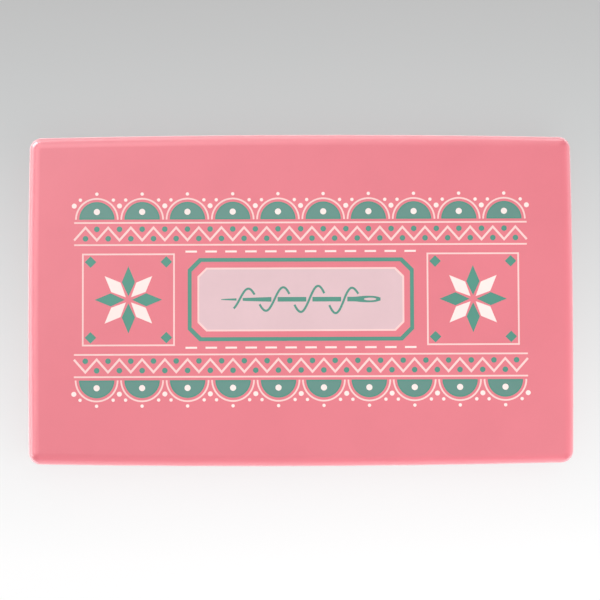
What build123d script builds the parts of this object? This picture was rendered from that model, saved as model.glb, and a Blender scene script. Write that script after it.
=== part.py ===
"""Needle holder: a flat hinged case of two moulded shells.

Closed and lying on its underside, with +Z up, +X along its length and the
opening edge towards -Y. The origin is the middle of the underside.
Lengths are in millimetres.
"""

from build123d import *
from math import cos, radians, sin, tan
import os

os.makedirs("parts", exist_ok=True)

# ---------------------------------------------------------------- case
case_w = 110.0        # length, at the middle of the short edges
case_d = 67.0         # depth, at the middle of the long edges
case_t = 13.0         # closed thickness
parting_z = 6.5       # height of the joint line between the shells
bow_long = 0.60       # how far each long edge bows out
bow_short = 0.30      # how far each short edge bows out
corner_r = 2.45       # corners of the outline
wall = 1.7            # side walls
base_floor = 1.4      # floor of the base
lid_skin = 1.4        # top of the lid
lid_edge_r = 2.35     # rounding round the top of the lid
base_edge_r = 1.2     # rounding round the bottom of the base
seam = 0.22           # small bevel on both sides of the joint line
rear_rail_y = 27.6    # front face of the thick rail that carries the hinge

# ---------------------------------------------------------------- closing lip
lip_gap = 0.10        # side clearance of the lip in the lid
lip_outer = 0.95      # lip's outer face, in from the outline
lip_h = 0.90          # lip's height over the joint line
rebate_outer = lip_outer - lip_gap
rebate_h = 1.00
lip_rear_y = 25.0     # the lip stops short of the hinge rail
bead_x = 24.0         # two snap beads on the front wall
bead_len = 9.0
bead_r = 0.30
bead_proud = 0.20

# ---------------------------------------------------------------- finger scoop
scoop_half = 10.5     # half width at the joint line
scoop_deep = 1.50     # depth at the joint line
scoop_low_z = 2.5     # height where it runs out on the front wall
boss_half = 15.0      # thickening of the front wall behind it
boss_y = -29.9

# ---------------------------------------------------------------- hinge
axis_y = 30.75
axis_z = parting_z
knuckle_r = 1.95
knuckle_gap_r = 0.25  # free space round a knuckle in the other shell
knuckle_gap_x = 0.15  # end play
hinge_x = 33.0        # middle of each hinge
lid_knuckle = 9.0     # length of the lid's knuckle
base_knuckle = 4.5    # length of each of the base's two knuckles
pin_r = 0.75
base_bore_r = 0.75    # the pin is tight here
lid_bore_r = 0.82     # and turns freely here
pin_len = 17.7
pin_channel_r = 1.0   # groove along the axis, where a pin is slid in
vee_deg = 52.0        # slope of the relief on the rear of both shells

# ---------------------------------------------------------------- magnet
sheet_w, sheet_d, sheet_r = 98.0, 50.0, 2.0
sheet_y = -1.0
tape_t = 0.10
magnet_t = 0.80
liner_t = 0.20
corner_rib_h = 1.0
corner_rib_t = 1.0
corner_rib_len = 6.0

# ---------------------------------------------------------------- pad
pad_w, pad_d, pad_r = 95.0, 47.0, 3.0
pad_t = 2.6
pad_y = -1.5
pad_rib_gap = 0.6
pad_rib_t = 1.0
pad_rib_h = 1.3

# ---------------------------------------------------------------- underside
panel_w, panel_d, panel_r, panel_h = 88.0, 44.0, 4.0, 0.35


def outline(inset, radius=None, rear=None):
    """The bowed outline of the case, drawn `inset` inside its outer edge and,
    if asked, cut off straight at y = rear."""
    hx, hy = case_w / 2 - inset, case_d / 2 - inset
    cx, cy = hx - bow_short, hy - bow_long
    r = max(corner_r - inset, 0.5) if radius is None else radius
    with BuildSketch() as sk:
        with BuildLine():
            ThreePointArc((-cx, cy), (0, hy), (cx, cy))
            ThreePointArc((cx, cy), (hx, 0), (cx, -cy))
            ThreePointArc((cx, -cy), (0, -hy), (-cx, -cy))
            ThreePointArc((-cx, -cy), (-hx, 0), (-cx, cy))
        make_face()
        if rear is not None:
            with Locations((0, rear + 20)):
                Rectangle(case_w * 1.5, 40, mode=Mode.SUBTRACT)
        fillet(sk.vertices(), r)
    return sk.sketch


def disc_on_axis(x, r):
    """A disc of radius r on the hinge axis, facing along +X at this x."""
    with BuildSketch(Plane.YZ.offset(x)) as sk:
        with Locations((axis_y, axis_z)):
            Circle(r)
    return sk.sketch


def vee(sign):
    """The wedge behind the hinge axis that lets the shells swing clear of each
    other: above the joint line for sign 1, below it for sign -1."""
    reach = 8.0
    rise = sign * reach * tan(radians(vee_deg))
    with BuildSketch(Plane.YZ.offset(-case_w)) as sk:
        with BuildLine():
            Polyline(
                (axis_y, axis_z),
                (axis_y + reach, axis_z),
                (axis_y + reach, axis_z + rise),
                (axis_y, axis_z),
            )
        make_face()
    return sk.sketch


def knuckle_spans(side):
    """The x ranges of one hinge: base's inner knuckle, lid's knuckle, base's outer one."""
    m = side * hinge_x
    h = lid_knuckle / 2
    inner = (m - h - knuckle_gap_x - base_knuckle, m - h - knuckle_gap_x)
    outer = (m + h + knuckle_gap_x, m + h + knuckle_gap_x + base_knuckle)
    return inner, (m - h, m + h), outer


front_wall_y = -case_d / 2


def front_y(x):
    """y of the front edge of the outline at this x."""
    return front_wall_y + bow_long * (x / (case_w / 2 - bow_short)) ** 2


# ================================================================ base shell
outer_face = outline(0)
base_cavity_face = outline(wall, radius=0.8, rear=rear_rail_y)

with BuildPart() as base_shell:
    with BuildSketch(Plane.XY):
        add(outer_face)
    extrude(amount=parting_z)
    fillet(base_shell.faces().sort_by(Axis.Z)[0].edges(), base_edge_r)
    chamfer(base_shell.faces().sort_by(Axis.Z)[-1].edges(), seam)

    # the tray, with the front wall left thicker behind the scoop
    with BuildSketch(Plane.XY.offset(base_floor)) as tray:
        add(base_cavity_face)
        with Locations((0, boss_y - 3.0)):
            RectangleRounded(2 * boss_half, 6.0, 0.8, mode=Mode.SUBTRACT)
    extrude(amount=parting_z, mode=Mode.SUBTRACT)
    fillet(
        base_shell.edges()
        .filter_by(lambda e: abs(e.center().Z - base_floor) < 0.01)
        .filter_by(lambda e: e.bounding_box().size.Z < 0.01),
        0.4,
    )

    # the lip that locates the lid, on the front and the two ends
    with BuildSketch(Plane.XY.offset(parting_z)):
        add(outline(lip_outer))
        add(outline(wall, radius=0.8), mode=Mode.SUBTRACT)
        with Locations((0, lip_rear_y + 20)):
            Rectangle(2 * case_w, 40, mode=Mode.SUBTRACT)
        with Locations((0, -case_d / 2)):
            Rectangle(2 * boss_half, 20, mode=Mode.SUBTRACT)
    extrude(amount=lip_h)
    fillet(base_shell.faces().group_by(Axis.Z)[-1].edges(), 0.2)

    # grooves in the lip for the two snap beads
    for side in (-1, 1):
        x = side * bead_x
        turn = side * 360 * bow_long * bead_x / (3.14159 * (case_w / 2) ** 2)
        groove_plane = Plane(
            origin=(x, front_y(x) + lip_outer - 0.15, parting_z + 0.45),
            x_dir=(0, 0, 1),
            z_dir=(cos(radians(turn)), sin(radians(turn)), 0),
        )
        with BuildSketch(groove_plane):
            Circle(bead_r + 0.10)
        extrude(amount=bead_len / 2 + 0.4, both=True, mode=Mode.SUBTRACT)

    # the scoop under the lid's front edge, where a thumb lifts it
    scoop_r_top = (scoop_half**2 + scoop_deep**2) / (2 * scoop_deep)
    scoop_slope = scoop_deep / (parting_z - scoop_low_z)
    scoop_over = 0.5
    scoop_y = front_wall_y + scoop_deep - scoop_r_top
    with Locations((0, scoop_y, scoop_low_z)):
        Cone(
            bottom_radius=scoop_r_top - scoop_deep,
            top_radius=scoop_r_top + scoop_slope * scoop_over,
            height=parting_z - scoop_low_z + scoop_over,
            align=(Align.CENTER, Align.CENTER, Align.MIN),
            mode=Mode.SUBTRACT,
        )

    # the relief behind the hinge axis, and the groove along it
    extrude(vee(-1), amount=2 * case_w, mode=Mode.SUBTRACT)
    extrude(disc_on_axis(-case_w, pin_channel_r), amount=2 * case_w, mode=Mode.SUBTRACT)

    # two knuckles at each hinge, with room between them for the lid's
    for side in (-1, 1):
        inner, middle, outer = knuckle_spans(side)
        extrude(
            disc_on_axis(middle[0] - knuckle_gap_x, knuckle_r + knuckle_gap_r),
            amount=middle[1] - middle[0] + 2 * knuckle_gap_x,
            mode=Mode.SUBTRACT,
        )
        for span in (inner, outer):
            extrude(disc_on_axis(span[0], knuckle_r), amount=span[1] - span[0])
        extrude(
            disc_on_axis(inner[0] - 0.5, base_bore_r),
            amount=outer[1] - inner[0] + 1.0,
            mode=Mode.SUBTRACT,
        )

    # corner ribs that place the magnetic sheet
    rx = sheet_w / 2 + 0.3 + corner_rib_t / 2
    ry = sheet_d / 2 + 0.3 + corner_rib_t / 2
    with BuildSketch(Plane.XY.offset(base_floor)):
        for sx in (-1, 1):
            for sy in (-1, 1):
                with Locations(
                    (sx * (rx - corner_rib_len / 2 + corner_rib_t / 2), sheet_y + sy * ry)
                ):
                    Rectangle(corner_rib_len, corner_rib_t)
                with Locations(
                    (sx * rx, sheet_y + sy * (ry - corner_rib_len / 2 + corner_rib_t / 2))
                ):
                    Rectangle(corner_rib_t, corner_rib_len)
    extrude(amount=corner_rib_h)

    # a shallow panel in the underside, so that the case stands on its rim
    with BuildSketch(Plane.XY):
        RectangleRounded(panel_w, panel_d, panel_r)
    extrude(amount=panel_h, mode=Mode.SUBTRACT)

base_shell.part.label = "base_shell"
export_step(base_shell.part, "parts/base_shell.step")

# ================================================================ lid shell
with BuildPart() as lid_shell:
    with BuildSketch(Plane.XY.offset(parting_z)):
        add(outer_face)
    extrude(amount=case_t - parting_z)
    fillet(lid_shell.faces().sort_by(Axis.Z)[-1].edges(), lid_edge_r)
    chamfer(lid_shell.faces().sort_by(Axis.Z)[0].edges(), seam)

    # the hollow
    with BuildSketch(Plane.XY.offset(parting_z)):
        add(outline(wall, radius=0.8, rear=rear_rail_y))
    extrude(amount=case_t - parting_z - lid_skin, mode=Mode.SUBTRACT)
    lid_ceiling = case_t - lid_skin
    fillet(
        lid_shell.edges()
        .filter_by(lambda e: abs(e.center().Z - lid_ceiling) < 0.01)
        .filter_by(lambda e: e.bounding_box().size.Z < 0.01),
        0.6,
    )

    # the rebate that takes the base's lip
    with BuildSketch(Plane.XY.offset(parting_z)):
        add(outline(rebate_outer))
        with Locations((0, lip_rear_y + 0.3 + 20)):
            Rectangle(2 * case_w, 40, mode=Mode.SUBTRACT)
    extrude(amount=rebate_h, mode=Mode.SUBTRACT)

    # two snap beads inside the front wall
    for side in (-1, 1):
        x = side * bead_x
        turn = side * 360 * bow_long * bead_x / (3.14159 * (case_w / 2) ** 2)
        bead_plane = Plane(
            origin=(x, front_y(x) + rebate_outer + bead_proud - bead_r, parting_z + 0.45),
            x_dir=(0, 0, 1),
            z_dir=(cos(radians(turn)), sin(radians(turn)), 0),
        )
        with BuildSketch(bead_plane):
            Circle(bead_r)
        extrude(amount=bead_len / 2, both=True)

    # the relief behind the hinge axis, and the groove along it
    extrude(vee(1), amount=2 * case_w, mode=Mode.SUBTRACT)
    extrude(disc_on_axis(-case_w, pin_channel_r), amount=2 * case_w, mode=Mode.SUBTRACT)

    # one knuckle at each hinge, between the base's two
    for side in (-1, 1):
        inner, middle, outer = knuckle_spans(side)
        for span in (inner, outer):
            extrude(
                disc_on_axis(span[0] - knuckle_gap_x, knuckle_r + knuckle_gap_r),
                amount=span[1] - span[0] + 2 * knuckle_gap_x,
                mode=Mode.SUBTRACT,
            )
        extrude(disc_on_axis(middle[0], knuckle_r), amount=middle[1] - middle[0])
        extrude(
            disc_on_axis(middle[0] - 0.5, lid_bore_r),
            amount=middle[1] - middle[0] + 1.0,
            mode=Mode.SUBTRACT,
        )

    # a low rib round the place of the pad
    with BuildSketch(Plane.XY.offset(lid_ceiling)):
        with Locations((0, pad_y)):
            RectangleRounded(
                pad_w + 2 * (pad_rib_gap + pad_rib_t),
                pad_d + 2 * (pad_rib_gap + pad_rib_t),
                pad_r + pad_rib_gap + pad_rib_t,
            )
            RectangleRounded(
                pad_w + 2 * pad_rib_gap,
                pad_d + 2 * pad_rib_gap,
                pad_r + pad_rib_gap,
                mode=Mode.SUBTRACT,
            )
    extrude(amount=-pad_rib_h)

lid_shell.part.label = "lid_shell"
export_step(lid_shell.part, "parts/lid_shell.step")

# ================================================================ hinge pins
for side, name in ((-1, "hinge_pin_left"), (1, "hinge_pin_right")):
    with BuildPart() as hinge_pin:
        extrude(disc_on_axis(side * hinge_x - pin_len / 2, pin_r), amount=pin_len)
        chamfer(hinge_pin.edges().filter_by(GeomType.CIRCLE), 0.2)
    hinge_pin.part.label = name
    export_step(hinge_pin.part, f"parts/{name}.step")

# ================================================================ magnet in the base
with BuildPart() as magnet_tape:
    with BuildSketch(Plane.XY.offset(base_floor)):
        with Locations((0, sheet_y)):
            RectangleRounded(sheet_w - 2.0, sheet_d - 2.0, sheet_r)
    extrude(amount=tape_t)
magnet_tape.part.label = "magnet_tape"
export_step(magnet_tape.part, "parts/magnet_tape.step")

with BuildPart() as magnet_sheet:
    with BuildSketch(Plane.XY.offset(base_floor + tape_t)):
        with Locations((0, sheet_y)):
            RectangleRounded(sheet_w, sheet_d, sheet_r)
    extrude(amount=magnet_t)
magnet_sheet.part.label = "magnet_sheet"
export_step(magnet_sheet.part, "parts/magnet_sheet.step")

with BuildPart() as magnet_liner:
    with BuildSketch(Plane.XY.offset(base_floor + tape_t + magnet_t)):
        with Locations((0, sheet_y)):
            RectangleRounded(sheet_w, sheet_d, sheet_r)
    extrude(amount=liner_t)
magnet_liner.part.label = "magnet_liner"
export_step(magnet_liner.part, "parts/magnet_liner.step")

# ================================================================ pad in the lid
with BuildPart() as pad_tape:
    with BuildSketch(Plane.XY.offset(lid_ceiling - tape_t)):
        with Locations((0, pad_y)):
            RectangleRounded(pad_w - 2.0, pad_d - 2.0, pad_r - 1.0)
    extrude(amount=tape_t)
pad_tape.part.label = "pad_tape"
export_step(pad_tape.part, "parts/pad_tape.step")

with BuildPart() as needle_pad:
    with BuildSketch(Plane.XY.offset(lid_ceiling - tape_t - pad_t)):
        with Locations((0, pad_y)):
            RectangleRounded(pad_w, pad_d, pad_r)
    extrude(amount=pad_t)
    fillet(needle_pad.faces().sort_by(Axis.Z)[0].edges(), 0.8)
needle_pad.part.label = "needle_pad"
export_step(needle_pad.part, "parts/needle_pad.step")
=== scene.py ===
import math
import random

import bmesh
import bpy
from mathutils import Matrix, Quaternion, Vector
from mathutils.bvhtree import BVHTree
from mathutils.geometry import tessellate_polygon


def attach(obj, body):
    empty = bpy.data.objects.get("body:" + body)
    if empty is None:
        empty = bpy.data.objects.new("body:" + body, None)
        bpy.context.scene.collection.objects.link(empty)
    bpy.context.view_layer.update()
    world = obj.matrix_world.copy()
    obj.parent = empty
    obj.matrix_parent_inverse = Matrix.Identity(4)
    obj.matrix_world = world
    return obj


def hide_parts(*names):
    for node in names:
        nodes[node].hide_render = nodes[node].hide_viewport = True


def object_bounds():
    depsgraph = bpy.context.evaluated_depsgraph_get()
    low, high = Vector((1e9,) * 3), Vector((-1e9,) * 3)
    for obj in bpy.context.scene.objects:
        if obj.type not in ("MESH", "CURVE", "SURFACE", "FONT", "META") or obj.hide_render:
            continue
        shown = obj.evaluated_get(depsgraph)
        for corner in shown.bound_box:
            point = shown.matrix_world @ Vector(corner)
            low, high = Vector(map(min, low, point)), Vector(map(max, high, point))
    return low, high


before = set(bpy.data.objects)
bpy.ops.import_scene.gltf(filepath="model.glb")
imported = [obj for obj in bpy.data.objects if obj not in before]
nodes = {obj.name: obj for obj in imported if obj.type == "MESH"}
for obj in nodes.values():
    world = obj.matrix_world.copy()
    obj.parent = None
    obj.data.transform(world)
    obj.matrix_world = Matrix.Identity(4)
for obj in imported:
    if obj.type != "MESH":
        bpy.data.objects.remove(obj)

MM = 0.001
scene = bpy.context.scene
cad_low, cad_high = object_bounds()


# ---------------------------------------------------------------- camera
# The photograph looks down on the closed lid, with the opening edge at the
# bottom. The outline is 0.7% wider at the bottom than at the top, and 0.5%
# taller at the left than at the right, which puts the camera about 0.4 m up,
# 3 degrees off the vertical towards -Y and a little towards -X.
LID_TOP = cad_high.z
camera_distance = 0.40
camera_front = math.radians(3.0)
camera_left = math.radians(0.5)
camera_roll = math.radians(-0.22)
camera_lens = 119.55
aim = Vector((-0.18 * MM, -0.15 * MM, LID_TOP))

camera_data = bpy.data.cameras.new("camera")
camera_data.sensor_width = 36.0
camera_data.lens = camera_lens
camera_data.clip_start = 0.01
camera_data.clip_end = 20.0
camera = bpy.data.objects.new("camera", camera_data)
scene.collection.objects.link(camera)
back = Vector((-math.tan(camera_left), -math.tan(camera_front), 1.0)).normalized()
right = Vector((0.0, 1.0, 0.0)).cross(back).normalized()
right.rotate(Quaternion(back, camera_roll))
up = back.cross(right)
camera.matrix_world = Matrix.Translation(aim + back * camera_distance) @ Matrix(
    (right, up, back)
).transposed().to_4x4()
scene.camera = camera

scene.view_settings.view_transform = "Standard"
scene.view_settings.look = "None"
scene.view_settings.exposure = 0.0
scene.view_settings.gamma = 1.0


# ---------------------------------------------------------------- node helpers
class Look:
    """One node material round a Principled shader, on the object's own coordinates."""

    def __init__(self, name):
        self.material = bpy.data.materials.new(name)
        self.material.use_nodes = True
        self.tree = self.material.node_tree
        self.shader = self.tree.nodes["Principled BSDF"]
        self.coords = self.tree.nodes.new("ShaderNodeTexCoord").outputs["Object"]

    def set(self, **values):
        for key, value in values.items():
            self.shader.inputs[key.replace("_", " ")].default_value = value
        return self

    def link(self, out, into):
        self.tree.links.new(out, into)

    def scaled(self, scale):
        node = self.tree.nodes.new("ShaderNodeMapping")
        node.inputs["Scale"].default_value = scale
        self.link(self.coords, node.inputs["Vector"])
        return node.outputs["Vector"]

    def noise(self, scale, detail=2.0, roughness=0.5, vector=None):
        node = self.tree.nodes.new("ShaderNodeTexNoise")
        node.inputs["Scale"].default_value = scale
        node.inputs["Detail"].default_value = detail
        node.inputs["Roughness"].default_value = roughness
        self.link(self.coords if vector is None else vector, node.inputs["Vector"])
        return node.outputs["Fac"]

    def cells(self, scale, feature="F1", vector=None):
        node = self.tree.nodes.new("ShaderNodeTexVoronoi")
        node.feature = feature
        node.inputs["Scale"].default_value = scale
        self.link(self.coords if vector is None else vector, node.inputs["Vector"])
        return node.outputs["Distance"]

    def math(self, operation, a, b=None, c=None):
        node = self.tree.nodes.new("ShaderNodeMath")
        node.operation = operation
        for socket, value in zip(node.inputs, (a, b, c)):
            if value is None:
                continue
            if isinstance(value, (int, float)):
                socket.default_value = value
            else:
                self.link(value, socket)
        return node.outputs[0]

    def axes(self):
        node = self.tree.nodes.new("ShaderNodeSeparateXYZ")
        self.link(self.coords, node.inputs[0])
        return node.outputs["X"], node.outputs["Y"], node.outputs["Z"]

    def spread(self, value, low, high, to_low=0.0, to_high=1.0, smooth=False):
        node = self.tree.nodes.new("ShaderNodeMapRange")
        node.interpolation_type = "SMOOTHSTEP" if smooth else "LINEAR"
        for key, number in (
            ("From Min", low),
            ("From Max", high),
            ("To Min", to_low),
            ("To Max", to_high),
        ):
            node.inputs[key].default_value = number
        self.link(value, node.inputs["Value"])
        return node.outputs["Result"]

    def colours(self, value, stops):
        node = self.tree.nodes.new("ShaderNodeValToRGB")
        ramp = node.color_ramp
        while len(ramp.elements) < len(stops):
            ramp.elements.new(0.5)
        for element, (place, colour) in zip(ramp.elements, stops):
            element.position = place
            element.color = (*colour, 1.0)
        self.link(value, node.inputs["Fac"])
        return node.outputs["Color"]

    def mixed(self, share, a, b, kind="MIX"):
        node = self.tree.nodes.new("ShaderNodeMix")
        node.data_type = "RGBA"
        node.blend_type = kind
        if isinstance(share, (int, float)):
            node.inputs["Factor"].default_value = share
        else:
            self.link(share, node.inputs["Factor"])
        for key, value in (("A", a), ("B", b)):
            socket = [s for s in node.inputs if s.name == key and s.type == "RGBA"][0]
            if isinstance(value, tuple):
                socket.default_value = (*value, 1.0)
            else:
                self.link(value, socket)
        return [s for s in node.outputs if s.type == "RGBA"][0]

    def bump(self, height, strength, distance, normal=None):
        node = self.tree.nodes.new("ShaderNodeBump")
        node.inputs["Strength"].default_value = strength
        node.inputs["Distance"].default_value = distance
        self.link(height, node.inputs["Height"])
        if normal is not None:
            self.link(normal, node.inputs["Normal"])
        return node.outputs["Normal"]

    def colour(self, out):
        self.link(out, self.shader.inputs["Base Color"])

    def rough(self, out):
        self.link(out, self.shader.inputs["Roughness"])

    def normal(self, out):
        self.link(out, self.shader.inputs["Normal"])


def linear(r, g, b):
    """An sRGB colour of 0 to 255 as linear numbers."""
    return tuple(
        c / 12.92 if c <= 0.04045 else ((c + 0.055) / 1.055) ** 2.4
        for c in (r / 255, g / 255, b / 255)
    )


def tint(colour, by):
    return tuple(min(1.0, c * by) for c in colour)


# ---------------------------------------------------------------- materials
def moulded_plastic(name, colour):
    """Pink injection-moulded plastic: satin outside, a little duller in the
    hollows, with a faint mottle in the pigment and a fine mould grain."""
    look = Look(name)
    look.set(IOR=1.49, Specular_IOR_Level=0.5)
    flow = look.noise(90.0, 3.0, 0.55)
    speck = look.noise(2600.0, 2.0, 0.6)
    body = look.colours(
        flow, [(0.30, tint(colour, 0.98)), (0.50, colour), (0.72, tint(colour, 1.015))]
    )
    body = look.mixed(
        look.spread(speck, 0.35, 0.75, 0.0, 0.10), body, tint(colour, 1.10)
    )
    look.colour(body)
    x, y, z = look.axes()
    inside_x = look.spread(look.math("ABSOLUTE", x), 53.45 * MM, 53.25 * MM)
    front = look.spread(y, -31.9 * MM, -31.6 * MM)
    rear = look.spread(y, 27.6 * MM, 27.4 * MM)
    inside_y = look.math("MULTIPLY", front, rear)
    above = look.spread(z, 1.30 * MM, 1.38 * MM)
    below = look.spread(z, 11.75 * MM, 11.65 * MM)
    inside = look.math("MULTIPLY", inside_x, inside_y)
    inside = look.math("MULTIPLY", inside, look.math("MULTIPLY", above, below))
    fine = look.noise(7000.0, 2.0, 0.6)
    smear = look.noise(55.0, 4.0, 0.6)
    rough = look.spread(smear, 0.25, 0.75, 0.28, 0.335)
    rough = look.math("ADD", rough, look.spread(fine, 0.3, 0.7, -0.02, 0.02))
    rough = look.math("MULTIPLY_ADD", inside, 0.16, rough)
    look.rough(rough)
    peel = look.noise(420.0, 1.0, 0.4)
    normal = look.bump(peel, 0.10, 0.010 * MM)
    normal = look.bump(fine, 0.16, 0.004 * MM, normal)
    look.normal(normal)
    return look.material


def drawn_steel(name):
    """Bright wire, with draw marks along its length."""
    look = Look(name)
    look.set(Metallic=1.0)
    along = look.noise(1.0, 3.0, 0.6, look.scaled((180.0, 9000.0, 9000.0)))
    look.colour(look.colours(along, [(0.3, (0.50, 0.50, 0.52)), (0.7, (0.70, 0.70, 0.71))]))
    look.rough(look.spread(along, 0.3, 0.7, 0.24, 0.42))
    look.normal(look.bump(along, 0.25, 0.004 * MM))
    return look.material


def tape(name):
    """Off-white double-sided tape, its carrier's fibres just showing."""
    look = Look(name)
    fibre = look.noise(1.0, 3.0, 0.65, look.scaled((900.0, 2600.0, 2600.0)))
    look.colour(look.colours(fibre, [(0.3, (0.72, 0.70, 0.64)), (0.7, (0.86, 0.84, 0.79))]))
    look.rough(look.spread(fibre, 0.3, 0.7, 0.50, 0.70))
    look.normal(look.bump(fibre, 0.3, 0.01 * MM))
    return look.material


def magnet_rubber(name):
    """Dark brown filled rubber with a ground edge."""
    look = Look(name)
    grain = look.noise(3800.0, 3.0, 0.65)
    look.colour(look.colours(grain, [(0.30, (0.045, 0.034, 0.030)), (0.72, (0.10, 0.078, 0.07))]))
    look.rough(look.spread(grain, 0.3, 0.7, 0.55, 0.80))
    look.normal(look.bump(grain, 0.4, 0.02 * MM))
    return look.material


def liner_film(name, colour):
    """A pale pink plastic film, laid on rubber whose grain just telegraphs through."""
    look = Look(name)
    look.set(IOR=1.47)
    cloud = look.noise(60.0, 3.0, 0.5)
    look.colour(look.colours(cloud, [(0.3, tint(colour, 0.97)), (0.7, tint(colour, 1.02))]))
    grain = look.noise(1500.0, 3.0, 0.6)
    look.rough(look.spread(grain, 0.3, 0.7, 0.34, 0.46))
    look.normal(look.bump(grain, 0.12, 0.012 * MM))
    return look.material


def ink(name, colour, rough=0.42):
    """Printed ink, a shade uneven in its cover."""
    look = Look(name)
    look.set(IOR=1.47)
    cover = look.noise(900.0, 4.0, 0.62)
    cloud = look.noise(95.0, 2.0, 0.5)
    tone = look.colours(cloud, [(0.3, tint(colour, 0.97)), (0.7, tint(colour, 1.02))])
    tone = look.mixed(look.spread(cover, 0.35, 0.70, 0.0, 0.16), tone, tint(colour, 0.90))
    look.colour(tone)
    look.rough(look.spread(cover, 0.3, 0.7, rough - 0.05, rough + 0.07))
    look.normal(look.bump(cover, 0.12, 0.006 * MM))
    return look.material


def cotton(name, colour):
    """Cream cotton in a plain weave, 0.5 mm from thread to thread, faintly fuzzy."""
    look = Look(name)
    look.set(Sheen_Weight=0.35, Sheen_Roughness=0.45)
    x, y, z = look.axes()
    wander = look.noise(240.0, 3.0, 0.6)
    wander = look.spread(wander, 0.0, 1.0, -0.22, 0.22)
    turn = 2 * math.pi / (0.5 * MM)
    warp = look.math("SINE", look.math("MULTIPLY_ADD", x, turn, wander))
    weft = look.math("SINE", look.math("MULTIPLY_ADD", y, turn, wander))
    half_warp = look.math("SINE", look.math("MULTIPLY_ADD", x, turn / 2, wander))
    half_weft = look.math("SINE", look.math("MULTIPLY_ADD", y, turn / 2, wander))
    over = look.math("MULTIPLY", half_warp, half_weft)
    over = look.spread(over, -0.25, 0.25, 0.0, 1.0, smooth=True)
    warp = look.math("ABSOLUTE", warp)
    weft = look.math("ABSOLUTE", weft)
    height = look.math(
        "ADD",
        look.math("MULTIPLY", warp, over),
        look.math("MULTIPLY", weft, look.math("SUBTRACT", 1.0, over)),
    )
    fuzz = look.noise(4200.0, 4.0, 0.7)
    slub = look.noise(1.0, 2.0, 0.6, look.scaled((160.0, 2200.0, 400.0)))
    # the colour follows the weave's height, darker down between the threads: painted shade in the weave's hollows
    tone = look.colours(
        height, [(0.0, tint(colour, 0.74)), (0.35, tint(colour, 0.93)), (1.0, colour)]
    )
    tone = look.mixed(look.spread(slub, 0.45, 0.75, 0.0, 0.55), tone, tint(colour, 0.84))
    cross = look.noise(1.0, 2.0, 0.6, look.scaled((1900.0, 190.0, 400.0)))
    tone = look.mixed(look.spread(cross, 0.50, 0.75, 0.0, 0.45), tone, tint(colour, 0.86))
    tone = look.mixed(look.spread(fuzz, 0.45, 0.8, 0.0, 0.35), tone, tint(colour, 1.06))
    look.colour(tone)
    look.rough(look.spread(fuzz, 0.3, 0.7, 0.82, 0.95))
    normal = look.bump(height, 0.55, 0.06 * MM)
    normal = look.bump(fuzz, 0.35, 0.02 * MM, normal)
    look.normal(normal)
    return look.material


def thread(name, colour):
    """Two-ply sewing thread."""
    look = Look(name)
    look.set(Sheen_Weight=0.25, Sheen_Roughness=0.4)
    x, y, z = look.axes()
    lay = look.math("ADD", look.math("MULTIPLY", x, 9500.0), look.math("MULTIPLY", y, 9500.0))
    lay = look.math("MULTIPLY_ADD", z, 14000.0, lay)
    ply = look.math("ABSOLUTE", look.math("SINE", lay))
    hair = look.noise(5200.0, 3.0, 0.7)
    # the colour follows the twist: painted shade in the grooves between the plies and a painted highlight on their
    # crowns
    tone = look.colours(ply, [(0.0, tint(colour, 0.62)), (0.5, colour), (1.0, tint(colour, 1.12))])
    look.colour(look.mixed(look.spread(hair, 0.4, 0.8, 0.0, 0.3), tone, tint(colour, 1.2)))
    look.rough(look.spread(hair, 0.3, 0.7, 0.55, 0.75))
    look.normal(look.bump(ply, 0.5, 0.04 * MM))
    return look.material


PINK = linear(230, 119, 132)
shell_pink = moulded_plastic("shell_pink", PINK)
pin_steel = drawn_steel("pin_steel")
tape_white = tape("tape_white")
rubber_brown = magnet_rubber("magnet_rubber")
liner_blush = liner_film("liner_blush", linear(236, 200, 202))
ink_green = ink("print_green", linear(66, 142, 124))
ink_sage = ink("print_sage", linear(86, 138, 127))
ink_cream = ink("print_cream", linear(252, 231, 226))
ink_line = ink("print_line", linear(248, 208, 205))
ink_blush = ink("print_blush", linear(223, 188, 193))
pad_cotton = cotton("pad_cotton", linear(240, 226, 210))
thread_green = thread("thread_green", linear(104, 150, 134))


def dress(node, material):
    ob = nodes[node]
    ob.data.materials.clear()
    ob.data.materials.append(material)


for node in ("lid_shell", "base_shell"):
    dress(node, shell_pink)
for node in ("hinge_pin_left", "hinge_pin_right"):
    dress(node, pin_steel)
for node in ("magnet_tape", "pad_tape"):
    dress(node, tape_white)
dress("magnet_sheet", rubber_brown)
dress("magnet_liner", liner_blush)


# ---------------------------------------------------------------- printed films
def area(points):
    return 0.5 * sum(
        a[0] * b[1] - b[0] * a[1] for a, b in zip(points, points[1:] + points[:1])
    )


def turned(points, anticlockwise=True):
    points = [tuple(p) for p in points]
    return points if (area(points) > 0) == anticlockwise else points[::-1]


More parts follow.
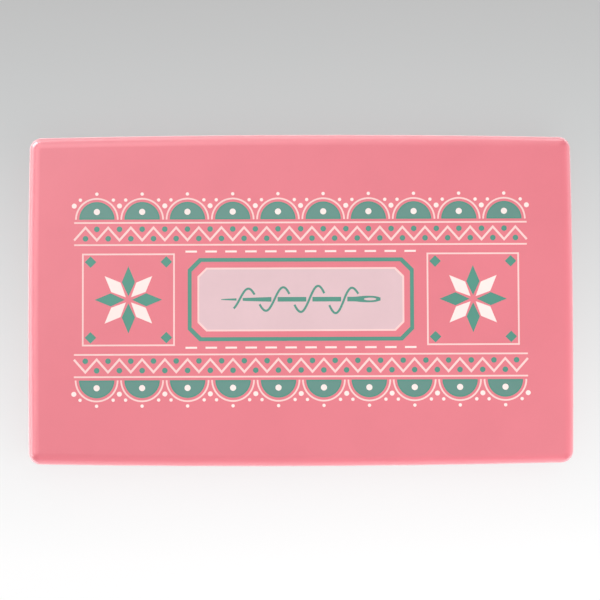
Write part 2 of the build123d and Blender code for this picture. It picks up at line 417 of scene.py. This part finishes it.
class Film:
    """A layer of ink: flat closed islands of one thickness, in one mesh."""

    def __init__(self, name, low, high, material, slot):
        self.name, self.low, self.high = name, low, high
        self.material, self.slot = material, slot
        self.verts, self.faces = [], []

    def island(self, outer, *holes):
        loops = [turned(outer)] + [turned(h, False) for h in holes]
        flat = [p for loop in loops for p in loop]
        start, count = len(self.verts), len(flat)
        self.verts += [(x, y, self.low) for x, y in flat]
        self.verts += [(x, y, self.high) for x, y in flat]
        for i, j, k in tessellate_polygon([[Vector((x, y, 0)) for x, y in loop] for loop in loops]):
            if area([flat[i], flat[j], flat[k]]) < 0:
                i, j, k = k, j, i
            self.faces.append((start + count + i, start + count + j, start + count + k))
            self.faces.append((start + k, start + j, start + i))
        at = start
        for loop in loops:
            n = len(loop)
            for i in range(n):
                a, b = at + i, at + (i + 1) % n
                self.faces.append((a, b, b + count, a + count))
            at += n

    def each(self, shapes):
        for shape in shapes:
            self.island(*shape)

    def made(self, body):
        mesh = bpy.data.meshes.new(self.name)
        mesh.from_pydata([(x * MM, y * MM, z * MM) for x, y, z in self.verts], [], self.faces)
        mesh.materials.append(self.material)
        mesh.update()
        ob = bpy.data.objects.new(self.name, mesh)
        scene.collection.objects.link(ob)
        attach(ob, body)
        return ob


def disc(x, y, r, n=24):
    return [(x + r * math.cos(2 * math.pi * i / n), y + r * math.sin(2 * math.pi * i / n)) for i in range(n)]


def arc(x, y, r, start, end, n):
    return [
        (
            x + r * math.cos(math.radians(start + (end - start) * i / n)),
            y + r * math.sin(math.radians(start + (end - start) * i / n)),
        )
        for i in range(n + 1)
    ]


def bar(x0, y0, x1, y1):
    return [(x0, y0), (x1, y0), (x1, y1), (x0, y1)]


def octagon(hx, hy, cut):
    return [
        (hx, hy - cut), (hx - cut, hy), (-hx + cut, hy), (-hx, hy - cut),
        (-hx, -hy + cut), (-hx + cut, -hy), (hx - cut, -hy), (hx, -hy + cut),
    ]


def lozenge(x, y, rx, ry):
    return [(x + rx, y), (x, y + ry), (x - rx, y), (x, y - ry)]


def ribbon(points, width):
    """The outline of a line of this width drawn along open points."""
    left, right = [], []
    for i, p in enumerate(points):
        before = points[max(i - 1, 0)]
        after = points[min(i + 1, len(points) - 1)]
        ways = []
        for a, b in ((before, p), (p, after)):
            d = math.hypot(b[0] - a[0], b[1] - a[1])
            if d > 1e-9:
                ways.append(((b[0] - a[0]) / d, (b[1] - a[1]) / d))
        tx, ty = sum(w[0] for w in ways), sum(w[1] for w in ways)
        d = math.hypot(tx, ty)
        tx, ty = tx / d, ty / d
        cosine = tx * ways[0][0] + ty * ways[0][1]
        off = width / 2 / max(cosine, 0.4)
        left.append((p[0] - ty * off, p[1] + tx * off))
        right.append((p[0] + ty * off, p[1] - tx * off))
    return left + right[::-1]


def mirrored(shapes):
    """The shapes and their reflections below the middle line."""
    return shapes + [[[(x, -y) for x, y in loop] for loop in shape] for shape in shapes]


print_z = LID_TOP / MM
sage = Film("print_sage", print_z - 0.02, print_z + 0.028, ink_sage, "print_green")
green = Film("print_green", print_z - 0.02, print_z + 0.036, ink_green, "print_green")
blush = Film("print_blush", print_z - 0.02, print_z + 0.028, ink_blush, "print_blush")
cream = Film("print_cream", print_z - 0.02, print_z + 0.046, ink_cream, "print_cream")
lines = Film("print_lines", print_z - 0.02, print_z + 0.042, ink_line, "print_cream")

half = 45.5
# two scalloped edgings, like lace
pitch = 2 * half / 10
base = 16.15
for k in range(10):
    x = -half + pitch * (k + 0.5)
    sage.each(mirrored([[arc(x, base, 3.55, 0, 180, 28)]]))
    green.each(mirrored([[arc(x, base, 3.55, 0, 180, 28), arc(x, base, 3.27, 4.9, 175.1, 28)]]))
    outer = arc(x, base, 4.36, 0, 180, 32)
    inner = arc(x, base, 4.04, 180, 0, 32)
    lines.each(mirrored([[outer + inner]]))
    cream.each(mirrored([[disc(x, base + 1.55, 0.62)]]))
    cream.each(mirrored([[disc(x + 5.15 * math.cos(math.radians(a)), base + 5.15 * math.sin(math.radians(a)), 0.34, 16)] for a in (50, 90, 130)]))
for k in range(11):
    x = -half + pitch * k
    cream.each(mirrored([[disc(x, base + 2.75, 0.50, 20)]]))

# rules, and a zigzag braid with beads between them
lines.each(mirrored([[bar(-half, 10.86, half, 11.18)], [bar(-half, 15.32, half, 15.64)]]))
zigs = 20
step = 2 * half / zigs
path = [(-half + step * i / 2, 13.25 + (1.28 if i % 2 else -1.28)) for i in range(2 * zigs + 1)]
lines.each(mirrored([[ribbon(path, 0.42)]]))
for i in range(1, 2 * zigs):
    x = -half + step * i / 2
    y = 13.25 + (-0.95 if i % 2 else 0.95)
    green.each(mirrored([[disc(x, y, 0.56, 18)]]))

# a row of running stitches
for k in range(12):
    x = -22.0 + 4.0 * k
    cream.each(mirrored([[bar(x - 1.15, 9.47, x + 1.15, 9.86)]]))

# the plate in the middle
green.island(octagon(22.7, 8.35, 2.3), octagon(21.93, 7.58, 1.98))
lines.island(octagon(20.75, 6.40, 1.75), octagon(20.40, 6.05, 1.60))
blush.island(octagon(20.60, 6.25, 1.70))

# quilt stars at both ends
for side in (-1, 1):
    cx = side * 34.6
    reach = 7.1
    arm = reach / (2 * math.cos(math.radians(22.5)))
    for k in range(8):
        a = math.radians(45 * k)
        points = [
            (0.42, 0.0),
            (arm, math.radians(-22.5)),
            (reach, 0.0),
            (arm, math.radians(22.5)),
        ]
        shape = []
        middle = (reach / 2 * math.cos(a), reach / 2 * math.sin(a))
        for r, b in points:
            px, py = r * math.cos(a + b), r * math.sin(a + b)
            px, py = middle[0] + (px - middle[0]) * 0.90, middle[1] + (py - middle[1]) * 0.90
            shape.append((cx + px, py))
        (green if k % 2 == 0 else cream).island(shape)
    for sx in (-1, 1):
        for sy in (-1, 1):
            green.island(lozenge(cx + sx * 7.6, sy * 7.6, 1.15, 1.15))
    lines.island(bar(cx - 9.3, -9.3, cx + 9.3, 9.3), bar(cx - 8.98, -8.98, cx + 8.98, 8.98)[::-1])

# a needle on the plate, with its thread wound round it: over the needle at one
# crossing and under it at the next
def needle_half(x):
    """Half the needle's width at this x: point at -16, eye at 16."""
    t = (x + 16.0) / 32.0
    if t > 0.84:
        return 0.46 + 0.20 * math.sin(math.pi * min(1.0, (t - 0.84) / 0.16)) - 0.16 * max(0.0, (t - 0.97) / 0.03)
    return 0.07 + 0.39 * min(1.0, t / 0.30) ** 0.75


def needle_piece(x0, x1):
    xs = [x0 + (x1 - x0) * i / 12 for i in range(13)]
    return [(x, -needle_half(x)) for x in xs] + [(x, needle_half(x)) for x in xs[::-1]]


turns, first, last = 7, 12.2, -12.3
crossings = [first + (last - first) * k / turns for k in range(turns + 1)]


def thread_y(x):
    t = (first - x) / (first - last)
    swell = 3.0 * min(1.0, 0.55 + t * 3.0) * (1 - 0.30 * t)
    return swell * math.sin(math.pi * turns * t)


gap = 0.62
cuts = [x for k, x in enumerate(crossings) if k % 2 == 1]
stops = [16.0] + [e for x in cuts for e in (x + gap, x - gap)] + [-16.0]
for k in range(0, len(stops), 2):
    right, left = stops[k], stops[k + 1]
    if k == 0:
        eye = [(13.9 + 1.25 * math.cos(2 * math.pi * i / 24), 0.27 * math.sin(2 * math.pi * i / 24)) for i in range(24)]
        green.island(needle_piece(left, right), eye)
    else:
        green.island(needle_piece(left, right))
dive = 0.50
stretches = []
start = first
for k, x in enumerate(crossings[1:], 1):
    if k % 2 == 0:
        stretches.append((start, x + dive))
        start = x - dive
stretches.append((start, last - 1.2))
for k, (x0, x1) in enumerate(stretches):
    count = max(12, int(abs(x1 - x0) * 6))
    line = [(x0 + (x1 - x0) * i / count, thread_y(x0 + (x1 - x0) * i / count)) for i in range(count + 1)]
    if k == 0:
        line = [(12.62, 0.0)] + [q for q in line if q[0] < 12.2 - 0.62]
        line = line[1:]
    green.island(ribbon(line, 0.44))

for film in (sage, green, blush, cream, lines):
    film.made("lid")


# ---------------------------------------------------------------- pad in the lid
# Soft wadding between two layers of cotton, sewn together a little way in from
# the edge and along channels that divide it into ten. The seams hold the cotton down and the
# wadding swells it between them. Heights are from the pad's back, in mm, and
# the grid's cells are 0.74 mm.
PAD_W, PAD_D, PAD_THICK = 95.0, 47.0, 2.6
PAD_Y, PAD_BACK = -1.5, 11.5
COLUMNS, ROWS, HEM = 128, 64, 4
CHANNELS = (28, 52, 76, 100)
BAND = 32
SEAM_HEIGHTS = (0.52, 0.60, 0.62, 0.80)
BLOW_UP = 20.0


def pad_point(i, j):
    """Where point i, j of the cotton lies, with the pad's corners rounded off."""
    hx, hy = PAD_W / 2 - 0.14, PAD_D / 2 - 0.14
    x, y = -hx + 2 * hx * i / COLUMNS, -hy + 2 * hy * j / ROWS
    cx, cy = hx - 2 * hx * HEM / COLUMNS, hy - 2 * hy * HEM / ROWS
    if abs(x) > cx and abs(y) > cy:
        u, v = (abs(x) - cx) / (hx - cx), (abs(y) - cy) / (hy - cy)
        x = math.copysign(cx + (hx - cx) * u * math.sqrt(1 - v * v / 2), x)
        y = math.copysign(cy + (hy - cy) * v * math.sqrt(1 - u * u / 2), y)
    return x, y


def sewn_at(i, j):
    """The height at which a seam or the edge holds point i, j, or None."""
    if i in (0, COLUMNS) or j in (0, ROWS):
        return 0.44
    if j in (HEM, BAND, ROWS - HEM) and HEM <= i <= COLUMNS - HEM:
        return SEAM_HEIGHTS[(i - HEM) % 4]
    if i in (HEM, COLUMNS - HEM) + CHANNELS and HEM <= j <= ROWS - HEM:
        return SEAM_HEIGHTS[(j - HEM) % 4]
    return None


def cut_cotton():
    """The cotton as it is laid on the wadding, and which of its points are held."""
    chance = random.Random(7)
    points, held = [], []
    lines = (HEM,) + CHANNELS + (COLUMNS - HEM,)
    for j in range(ROWS + 1):
        for i in range(COLUMNS + 1):
            height = sewn_at(i, j)
            held.append(height is not None)
            if height is None and HEM < i < COLUMNS - HEM and HEM < j < ROWS - HEM:
                left = max(e for e in lines if e < i)
                right = min(e for e in lines if e > i)
                across = (i - left) / (right - left)
                along = (j - HEM) / (BAND - HEM) % 1.0
                crown = 4 * math.sqrt(across * (1 - across) * along * (1 - along))
                height = 0.80 + 1.3 * crown + chance.uniform(-0.05, 0.05)
            elif height is None:
                height = 0.90 + chance.uniform(-0.04, 0.04)
            points.append((*pad_point(i, j), height))
    return points, held


def swell(points, held):
    """Blow the cotton up with a cloth simulation, at 20 times its size."""
    mesh = bpy.data.meshes.new("cotton")
    row = COLUMNS + 1
    faces = [
        (a, a + 1, a + row + 1, a + row)
        for j in range(ROWS)
        for a in range(j * row, j * row + COLUMNS)
    ]
    mesh.from_pydata([tuple(c * MM * BLOW_UP for c in p) for p in points], [], faces)
    sheet = bpy.data.objects.new("cotton", mesh)
    scene.collection.objects.link(sheet)
    sewn = sheet.vertex_groups.new(name="sewn")
    sewn.add([k for k, h in enumerate(held) if h], 1.0, "REPLACE")
    cloth = sheet.modifiers.new("cloth", "CLOTH")
    settings = cloth.settings
    settings.quality = 7
    settings.mass = 0.25
    settings.tension_stiffness = settings.compression_stiffness = 18
    settings.shear_stiffness = 6
    settings.bending_stiffness = 0.9
    settings.tension_damping = settings.compression_damping = settings.shear_damping = 12
    settings.bending_damping = 0.8
    settings.air_damping = 3
    settings.vertex_group_mass = "sewn"
    settings.pin_stiffness = 50
    settings.shrink_min = settings.shrink_max = -0.03
    settings.effector_weights.gravity = 0.0
    settings.use_pressure = True
    settings.uniform_pressure_force = 5.0
    settings.pressure_factor = 1.0
    cloth.collision_settings.use_collision = False
    cloth.collision_settings.use_self_collision = False
    cloth.point_cache.frame_start, cloth.point_cache.frame_end = 1, 22
    for step_number in range(1, 23):
        scene.frame_set(step_number)
    solved = sheet.evaluated_get(bpy.context.evaluated_depsgraph_get())
    result = [tuple(c / (MM * BLOW_UP) for c in v.co) for v in solved.to_mesh().vertices]
    solved.to_mesh_clear()
    bpy.data.objects.remove(sheet)
    bpy.data.meshes.remove(mesh)
    scene.frame_set(1)
    return result


def pressed(points):
    """Keep the swelling in the pad's thickness: the lid closes on the magnet's liner."""
    top, seat = max(p[2] for p in points), 0.80
    share = min(1.0, (PAD_THICK - 0.06 - seat) / (top - seat))
    return [(x, y, h if h < seat else seat + (h - seat) * share) for x, y, h in points]


def edge_push(x, y):
    """The way out of the pad at a point of its edge."""
    cx, cy = PAD_W / 2 - 3.0, PAD_D / 2 - 3.0
    out = Vector((max(abs(x) - cx, 0.0), max(abs(y) - cy, 0.0)))
    if out.length < 1e-6:
        return Vector((0.0, 0.0))
    out.normalize()
    return Vector((math.copysign(out.x, x), math.copysign(out.y, y)))


def smoothed(mesh):
    """The mesh after one subdivision."""
    ob = bpy.data.objects.new("smoothed", mesh)
    scene.collection.objects.link(ob)
    surface = ob.modifiers.new("surface", "SUBSURF")
    surface.levels = surface.render_levels = 1
    done = bpy.data.meshes.new_from_object(ob.evaluated_get(bpy.context.evaluated_depsgraph_get()))
    bpy.data.objects.remove(ob)
    bpy.data.meshes.remove(mesh)
    return done


def pad_face():
    """The cotton's face as a mesh in place, one open sheet."""
    points, held = cut_cotton()
    points = swell(points, held)
    points = pressed(points)
    row = COLUMNS + 1
    faces = [
        (a, a + row, a + row + 1, a + 1)
        for j in range(ROWS)
        for a in range(j * row, j * row + COLUMNS)
    ]
    mesh = bpy.data.meshes.new("pad_face")
    mesh.from_pydata(
        [(x * MM, (y + PAD_Y) * MM, (PAD_BACK - h) * MM) for x, y, h in points], [], faces
    )
    return smoothed(mesh)


def close_pad(mesh):
    """Turn the hem over and close the back."""
    work = bmesh.new()
    work.from_mesh(mesh)
    rim = [e for e in work.edges if e.is_boundary]
    for reach, height in ((0.13, 0.22), (-0.09, 0.03), (-0.29, 0.0)):
        grown = bmesh.ops.extrude_edge_only(work, edges=rim)["geom"]
        rim = [g for g in grown if isinstance(g, bmesh.types.BMEdge)]
        for vert in [g for g in grown if isinstance(g, bmesh.types.BMVert)]:
            out = edge_push(vert.co.x / MM, vert.co.y / MM - PAD_Y)
            vert.co.x += out.x * reach * MM
            vert.co.y += out.y * reach * MM
            vert.co.z = (PAD_BACK - height) * MM
    bmesh.ops.contextual_create(work, geom=rim)
    bmesh.ops.triangulate(work, faces=[f for f in work.faces if len(f.verts) > 4])
    bmesh.ops.recalc_face_normals(work, faces=work.faces)
    work.to_mesh(mesh)
    work.free()


pad_mesh = pad_face()
cotton_face = BVHTree.FromPolygons(
    [v.co.copy() for v in pad_mesh.vertices], [tuple(f.vertices) for f in pad_mesh.polygons]
)
close_pad(pad_mesh)
pad_mesh.name = "quilted_pad"
pad_mesh.materials.clear()
pad_mesh.materials.append(pad_cotton)
pad_mesh.shade_smooth()
quilted_pad = bpy.data.objects.new("quilted_pad", pad_mesh)
scene.collection.objects.link(quilted_pad)
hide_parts("needle_pad")
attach(quilted_pad, "lid")

# the stitches: short arches of thread, each sunk into the cotton at both ends
THREAD_R = 0.20


def stitch(verts, faces, a, b):
    """One arch of thread over the cotton from a to b, x and y in mm."""
    turns, sides = 10, 8
    line = []
    for k in range(turns + 1):
        t = k / turns
        x, y = a[0] + (b[0] - a[0]) * t, a[1] + (b[1] - a[1]) * t
        hit = cotton_face.ray_cast(Vector((x * MM, (y + PAD_Y) * MM, 0.0)), Vector((0, 0, 1)))[0]
        lift = THREAD_R * (0.55 - 2.1 * (2 * t - 1) ** 6)
        line.append(Vector((x, y + PAD_Y, hit.z / MM - lift)))
    start = len(verts)
    for k, point in enumerate(line):
        ahead = (line[min(k + 1, turns)] - line[max(k - 1, 0)]).normalized()
        side = ahead.cross(Vector((0, 0, 1))).normalized()
        over = side.cross(ahead)
        for m in range(sides):
            angle = 2 * math.pi * m / sides
            verts.append((point + side * THREAD_R * math.cos(angle) + over * THREAD_R * math.sin(angle)) * MM)
    for k in range(turns):
        for m in range(sides):
            p, q = start + k * sides + m, start + k * sides + (m + 1) % sides
            faces.append((p, q, q + sides, p + sides))
    faces.append(tuple(start + m for m in range(sides))[::-1])
    faces.append(tuple(start + turns * sides + m for m in range(sides)))


verts, faces = [], []
hx, hy = pad_point(COLUMNS - HEM, ROWS // 2)[0], pad_point(COLUMNS // 2, ROWS - HEM)[1]
cell_x, cell_y = 2 * hx / (COLUMNS - 2 * HEM), 2 * hy / (ROWS - 2 * HEM)
for k in range((COLUMNS - 2 * HEM) // 4):
    x = -hx + 4 * k * cell_x
    for y in (-hy, 0.0, hy):
        stitch(verts, faces, (x + 0.05, y), (x + 2.55 * cell_x, y))
for k in range((ROWS - 2 * HEM) // 4):
    y = -hy + 4 * k * cell_y
    for i in (HEM,) + CHANNELS + (COLUMNS - HEM,):
        x = pad_point(i, ROWS // 2)[0]
        stitch(verts, faces, (x, y + 0.05), (x, y + 2.55 * cell_y))
mesh = bpy.data.meshes.new("pad_stitches")
mesh.from_pydata(verts, [], faces)
mesh.materials.append(thread_green)
mesh.update()
mesh.shade_smooth()
pad_stitches = bpy.data.objects.new("pad_stitches", mesh)
scene.collection.objects.link(pad_stitches)
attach(pad_stitches, "lid")


# ---------------------------------------------------------------- studio
def plane(name, size, z, material):
    mesh = bpy.data.meshes.new(name)
    h = size / 2
    mesh.from_pydata([(-h, -h, z), (h, -h, z), (h, h, z), (-h, h, z)], [], [(0, 1, 2, 3)])
    mesh.materials.append(material)
    ob = bpy.data.objects.new(name, mesh)
    scene.collection.objects.link(ob)
    return ob


# The floor glows with painted light: its emission, like its dim colour, runs from white at the front to grey at the
# back, so the case casts only a faint shadow on it.
floor_look = Look("floor")
x, y, z = floor_look.axes()
shade = floor_look.colours(
    floor_look.spread(y, -70 * MM, 70 * MM),
    [
        (0.00, linear(255, 255, 255)),
        (0.12, linear(253, 253, 253)),
        (0.31, linear(240, 241, 241)),
        (0.53, linear(222, 224, 224)),
        (0.75, linear(204, 206, 206)),
        (1.00, linear(190, 190, 190)),
    ],
)
floor_look.colour(floor_look.mixed(0.80, shade, (0.0, 0.0, 0.0)))
floor_look.set(Roughness=0.9, Specular_IOR_Level=0.0, Emission_Strength=0.81)
floor_look.link(shade, floor_look.shader.inputs["Emission Color"])
floor = plane("floor", 6.0, 0.0, floor_look.material)


def softbox(name, place, at, size, radiance, diffuse=True, glossy=True):
    """A soft rectangular light; radiance is how bright its face looks."""
    data = bpy.data.lights.new(name, "AREA")
    data.shape = "RECTANGLE"
    data.size, data.size_y = size
    data.energy = radiance * math.pi * size[0] * size[1]
    ob = bpy.data.objects.new(name, data)
    scene.collection.objects.link(ob)
    ob.location = place
    ob.rotation_euler = (Vector(at) - Vector(place)).to_track_quat("-Z", "Y").to_euler()
    ob.visible_camera = False
    ob.visible_diffuse = diffuse
    ob.visible_glossy = glossy
    return ob


centre = (0, 0, 0.01)
softbox("top", (0.10, -0.10, 0.90), centre, (1.1, 1.1), 1.18, glossy=False)
softbox("fill", (0.09, -0.08, 0.20), centre, (0.16, 0.16), 1.52, glossy=False)
softbox("sheen", (-0.54, 0.52, 1.0), centre, (1.08, 1.08), 4.0, diffuse=False)
softbox("edge_left", (-2.9, 0.0, 0.74), centre, (2.64, 1.06), 0.4, glossy=False)
softbox("edge_behind", (0.0, 2.9, 0.74), centre, (2.64, 1.06), 0.4, glossy=False)
# the pale walls of the table's surroundings, seen only in reflections
softbox("wall_left", (-0.62, 0.0, 0.52), (0, 0, 0.52), (0.8, 1.0), 1.0, diffuse=False)
softbox("wall_behind", (0.0, 0.62, 0.52), (0, 0, 0.52), (0.9, 1.0), 0.95, diffuse=False)
# narrow panels a little over them, for the upper part of the rounded edges
softbox("upper_left", (-0.55, 0.0, 0.45), (0, 0, 0.01), (0.20, 0.18), 6.2, diffuse=False)
softbox("upper_behind", (0.0, 0.55, 0.45), (0, 0, 0.01), (0.24, 0.18), 4.6, diffuse=False)
softbox("wall_right", (0.7, 0.0, 0.52), (0, 0, 0.52), (0.8, 1.0), 1.0, diffuse=False)
softbox("wall_front", (0.0, -0.7, 0.52), (0, 0, 0.52), (0.8, 1.0), 0.8, diffuse=False)

# low strips close round the object, that its rounded edges reflect upwards, and
# a small bright one at the rear left corner
low = 0.014
softbox("strip_left", (-0.113, 0.0, 0.016), (0, 0, 0.016), (0.12, 0.032), 7.0, diffuse=False)
softbox("strip_behind", (0.0, 0.093, 0.016), (0, 0, 0.016), (0.17, 0.032), 5.6, diffuse=False)
softbox("strip_right", (0.125, 0.0, low), (0, 0, low), (0.13, 0.028), 1.8, diffuse=False)
softbox("strip_front", (0.0, -0.105, low), (0, 0, low), (0.18, 0.028), 2.0, diffuse=False)
softbox("corner", (-0.105, 0.085, 0.017), (-0.055, 0.033, 0.017), (0.060, 0.022), 28.0, diffuse=False)


def glow(name, x0, y0, x1, y1, radiance):
    """The bright table close round the object, seen only in its reflections."""
    place = ((x0 + x1) / 2, (y0 + y1) / 2, 0.0005)
    return softbox(
        name, place, (place[0], place[1], 1.0), (x1 - x0, y1 - y0), radiance, diffuse=False
    )


glow("glow_left", -0.36, -0.06, -0.060, 0.06, 2.7)
glow("glow_behind", -0.08, 0.038, 0.08, 0.30, 2.1)
glow("glow_right", 0.060, -0.06, 0.36, 0.06, 1.4)
glow("glow_front", -0.08, -0.30, 0.08, -0.038, 1.6)

world = bpy.data.worlds.new("world")
world.use_nodes = True
world.node_tree.nodes["Background"].inputs["Color"].default_value = (1.0, 1.0, 1.0, 1.0)
world.node_tree.nodes["Background"].inputs["Strength"].default_value = 0.50
scene.world = world
